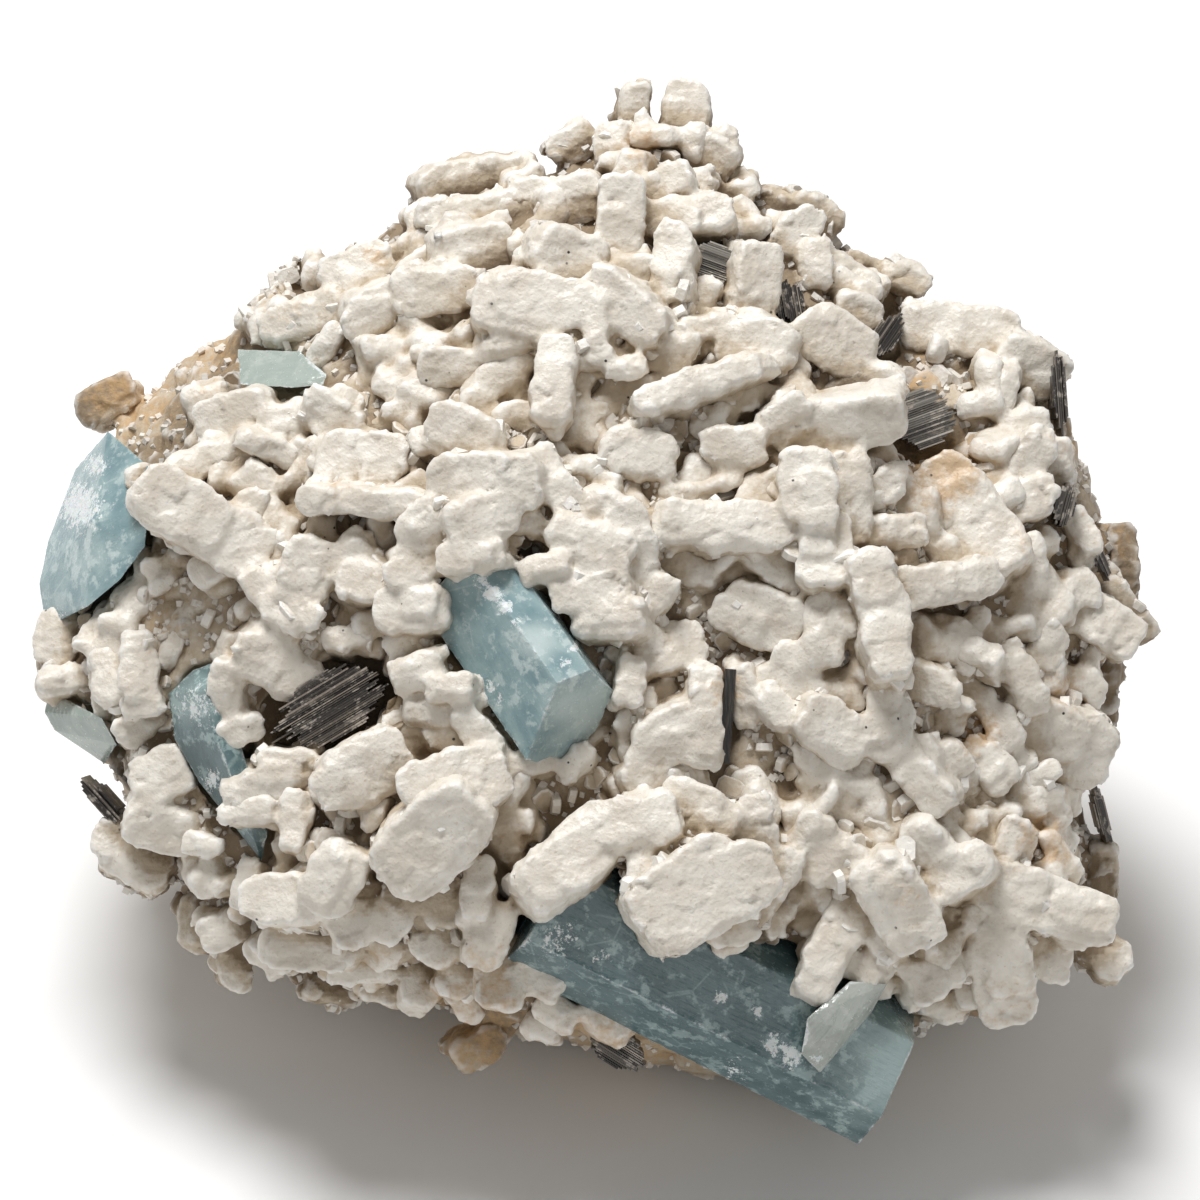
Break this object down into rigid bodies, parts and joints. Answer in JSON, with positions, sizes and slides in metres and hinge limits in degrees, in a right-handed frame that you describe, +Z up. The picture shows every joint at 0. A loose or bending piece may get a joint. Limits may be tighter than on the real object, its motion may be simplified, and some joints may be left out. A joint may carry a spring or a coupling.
{
  "type": "aquamarine on feldspar mineral specimen",
  "caption": "Natural lump of white feldspar crystals holding blue-green aquamarine prisms and dark mica books, resting on a flat broken base.",
  "frame": {"origin": "middle of the specimen's footprint, on the flat base that it lies on", "axes": "+X to the right along the longest side, +Z up, and the crystal face looks forward and up, toward -Y and +Z"},
  "size_m": [0.1421, 0.1209, 0.102],
  "materials": {
    "feldspar": "milky white crystals with sugary tan crevices",
    "aquamarine": "clear to cloudy blue-green crystal",
    "pale_beryl": "cloudy pale green crystal",
    "quartz": "milky clear crystal",
    "mica": "dark leaves with a bright sheen",
    "schorl": "black striated crystal"
  },
  "bodies": {
    "root": {"feldspar_matrix": "feldspar", "aquamarine_centre": "aquamarine", "aquamarine_long": "aquamarine", "aquamarine_left": "aquamarine", "aquamarine_leaning": "aquamarine", "beryl_pale_lower": "pale_beryl", "beryl_pale_upper": "pale_beryl", "quartz_across": "quartz", "mica_book_main": "mica", "mica_book_grey": "mica", "mica_book_notch": "mica", "mica_book_recess": "mica", "mica_book_top": "mica", "mica_leaf_right": "mica", "mica_book_side": "mica", "mica_leaf_side": "mica", "mica_book_base": "mica", "mica_leaf_left": "mica", "mica_leaf_lower": "mica", "schorl_needle": "schorl"}
  },
  "joints": []
}
